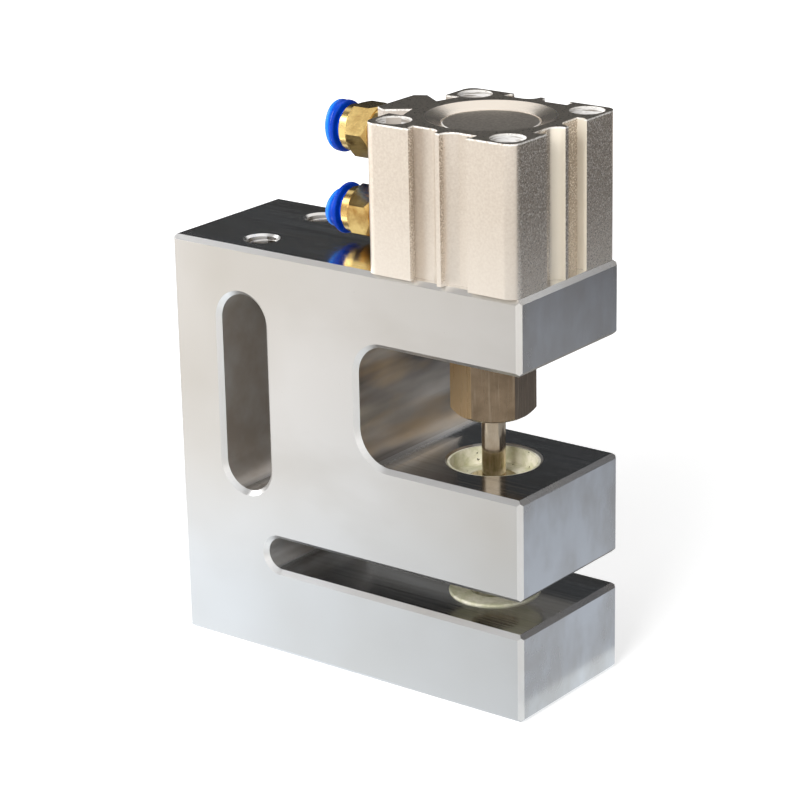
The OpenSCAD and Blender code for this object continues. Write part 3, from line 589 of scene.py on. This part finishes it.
def coupler_steel(name):
    """The coupler: drawn hexagon steel with an oiled brown film; painted light turns its back
    facets golden, and painted shade darkens the facet that looks along +x."""
    look = Look(name, shade("#9C8770"), metallic=0.8)
    nx = look.normal_parts()[0]
    drawn = look.streaks("z", 1500, 25)
    stain = look.noise(160, 4, 0.6)
    tint = look.mix(look.spread(stain, 0.4, 0.75), shade("#93806A"), shade("#75644F"))
    # Painted light: the facets that look along -x turn golden, and painted shade darkens the one
    # that looks along +x
    tint = look.mix(look.times(look.spread(nx, -0.2, -0.5), 0.85), tint, shade("#DDBE90"))
    tint = look.mix(look.spread(nx, 0.8, 0.9, 0, 0.7), tint, shade("#6E6052"))
    tint = look.mix(look.spread(drawn, 0.55, 0.75, 0, 0.5), tint, shade("#C2B19C"))
    rough = look.spread(drawn, 0.3, 0.7, 0.24, 0.42)
    return look.wear(tint, rough, look.bump(drawn, 0.03 * MM, 0.4))


def soft_rubber(name, colour):
    """Matt black rubber with a fine grain."""
    look = Look(name, shade(colour), roughness=0.6)
    grain = look.noise(2500, 3)
    tint = look.mix(look.spread(grain, 0.3, 0.7), shade(colour), shade("#2A2A2A"))
    return look.wear(tint, look.spread(grain, 0.3, 0.7, 0.5, 0.7), look.bump(grain, 0.02 * MM, 0.4))


LOOKS = {}


def paint_nodes():
    """Make every look, and give each CAD node the one that its record's slot names."""
    LOOKS.update({
        "ground_steel": ground_steel(),
        "pale_tool_steel": filled_cup("pale_tool_steel"),
        "body_aluminium": cylinder_aluminium("body_aluminium", "#EBE0D2", "#DDD0C1"),
        "head_disc": blasted_aluminium("head_disc", "#D6CEC3", "#B9B0A6"),
        "bronze": turned_metal("bronze", "#B08A55", "#8C6A3C", 0.35),
        "seal_rubber": soft_rubber("seal_rubber", "#1A1A1A"),
        "white_plastic": moulded_plastic("white_plastic", "#E6E2D8", "#D2CDC0"),
        "dark_steel": turned_metal("dark_steel", "#5A5854", "#3C3A38", 0.4),
        "rod_chrome": turned_metal("rod_chrome", "#E2E0DC", "#CFCBC4", 0.12),
        "coupler_steel": coupler_steel("coupler_steel"),
        "punch_steel": turned_metal("punch_steel", "#CDBEA8", "#A8947A", 0.13),
        "brass": turned_metal("brass", "#F2D48C", "#A67535", 0.17, along="x"),
        "blue_plastic": moulded_plastic("blue_plastic", "#0048CC", "#0034A8", highlight_colour="#1C86FF"),
    })
    for entry in frame["record"]["subparts"]:
        piece = nodes[entry["node"]]
        piece.data.materials.clear()
        piece.data.materials.append(LOOKS[entry["material_slot"]])


def seen_by(tree, *kinds):
    """1 for the named kinds of ray, such as Camera, and 0 for the others."""
    path = add_node(tree, "ShaderNodeLightPath")
    value, *others = [path.outputs[f"Is {kind} Ray"] for kind in kinds]
    for other in others:
        either = add_node(tree, "ShaderNodeMath", {0: value, 1: other}, operation="MAXIMUM")
        value = either.outputs[0]
    return value


def make_world():
    """White where the camera or a reflection sees it, and a soft even light otherwise."""
    world = bpy.data.worlds.new("world")
    bpy.context.scene.world = world
    world.use_nodes = True
    tree = world.node_tree
    seen = seen_by(tree, "Camera", "Glossy", "Transmission")
    strength = spread(tree, seen, 0, 1, WORLD_LIGHT, 1.0)
    set_inputs(tree, tree.nodes["Background"], {"Color": (1, 1, 1, 1), "Strength": strength})


def flat_mesh(name, corners):
    """One flat face that belongs to the stage, not to the object."""
    mesh = bpy.data.meshes.new(name)
    mesh.from_pydata([tuple(c) for c in corners], [], [tuple(range(len(corners)))])
    piece = bpy.data.objects.new(name, mesh)
    bpy.context.collection.objects.link(piece)
    return piece


def bare_material(piece):
    """Give piece a material without nodes, and return its node tree."""
    material = bpy.data.materials.new(piece.name)
    material.use_nodes = True
    material.node_tree.nodes.clear()
    piece.data.materials.append(material)
    return material.node_tree


def make_floor():
    """A pale floor that keeps the shadow. The camera sees it white, and reflections see it
    brighter to the back left than to the front right, as under one large soft window."""
    corners = ((-1, -1), (1, -1), (1, 1), (-1, 1))
    floor = flat_mesh("floor", [(FLOOR_REACH * i, FLOOR_REACH * j, 0) for i, j in corners])
    tree = bare_material(floor)
    far = distance(tree)
    place = add_node(tree, "ShaderNodeTexCoord").outputs["Object"]
    plain = add_node(tree, "ShaderNodeBsdfDiffuse", {"Color": FLOOR_COLOUR}).outputs[0]
    lift = spread(tree, far, LIFT_FROM, LIFT_TO, FLOOR_LIFT, 1.0)
    glow = add_node(tree, "ShaderNodeEmission", {"Strength": lift}).outputs[0]
    white = add_node(tree, "ShaderNodeAddShader", {0: plain, 1: glow}).outputs[0]
    slope = add_node(tree, "ShaderNodeVectorMath", {0: place, 1: GLOW_SLOPE},
                     operation="DOT_PRODUCT").outputs["Value"]
    strength = spread(tree, slope, GLOW_FROM, GLOW_TO, GLOW_LOW, GLOW_HIGH)
    tone = mix(tree, spread(tree, far, TONE_FROM, TONE_TO), TONE_NEAR, TONE_FAR)
    window = add_node(tree, "ShaderNodeEmission", {"Color": tone, "Strength": strength}).outputs[0]
    direct = seen_by(tree, "Camera")
    lit = add_node(tree, "ShaderNodeMixShader", {0: direct, 1: plain, 2: white}).outputs[0]
    mirrored = seen_by(tree, "Glossy", "Transmission")
    whole = add_node(tree, "ShaderNodeMixShader", {0: mirrored, 1: lit, 2: window}).outputs[0]
    add_node(tree, "ShaderNodeOutputMaterial", {"Surface": whole})


def make_flag(name, centre, size, facing, grey, far_grey=None):
    """A studio card that only reflections see. Its colour may change with the distance
    from the object's base, from grey to far_grey."""
    normal = Vector(facing).normalized()
    right = normal.cross(Vector((0, 0, 1))).normalized()
    up = right.cross(normal)
    centre, wide, high = Vector(centre), right * size[0] / 2, up * size[1] / 2
    card = flat_mesh(name, [centre - wide - high, centre + wide - high,
                            centre + wide + high, centre - wide + high])
    card.visible_camera = card.visible_diffuse = False
    card.visible_shadow = card.visible_transmission = False
    tree = bare_material(card)
    colour = (*shade(grey), 1)
    if far_grey:
        far = spread(tree, distance(tree), FLAG_FROM, FLAG_TO)
        colour = mix(tree, far, shade(grey), shade(far_grey))
    glow = add_node(tree, "ShaderNodeEmission", {"Color": colour}).outputs[0]
    add_node(tree, "ShaderNodeOutputMaterial", {"Surface": glow})


def make_light(name, place, size, power, glossy=True):
    """A soft square lamp aimed at the object; its reflection shows only where glossy is true."""
    lamp = bpy.data.lights.new(name, "AREA")
    lamp.shape = "SQUARE"
    lamp.size = size
    lamp.energy = power
    light = bpy.data.objects.new(name, lamp)
    light.location = place
    light.visible_glossy = glossy
    light.rotation_euler = (Vector(place) - LAMP_AIM).to_track_quat("Z", "Y").to_euler()
    bpy.context.collection.objects.link(light)


bpy.context.scene.view_settings.view_transform = "Standard"
make_camera()
make_world()
make_floor()
make_flag("flag_back", (-0.45, 0.6, 0.36), (1.7, 0.74), (0.45, -0.6, 0), "#3E3F40")
make_flag("flag_back_right", (0.55, 0.55, 0.3), (1.5, 0.7), (-0.55, -0.55, 0), "#5C5A5A")
make_flag("flag_right", (0.46, 0.32, 0.002), (0.7, 0.8), (0.001, 0, 1), "#C6CBD2", "#505054")
make_flag("flag_behind", (-0.25, 0.33, 0.002), (0.6, 0.7), (0.001, 0, 1), "#878581")
make_flag("flag_over", (-0.5, -0.17, 0.83), (0.62, 0.6), (0.5, 0.17, -0.73), "#777574")
make_light("key", (0.18, -0.94, 0.61), 0.5, 11, glossy=False)
make_light("fill", (-0.95, -0.25, 0.5), 0.6, 4)
paint_nodes()
for name, width in BROKEN_EDGES.items():
    round_edges(name, width)
for side in ("upper", "lower"):
    make_collar(side)
for number, y in enumerate((-TAPPED_Y, TAPPED_Y)):
    make_thread(f"tapped_thread_{number}", y)
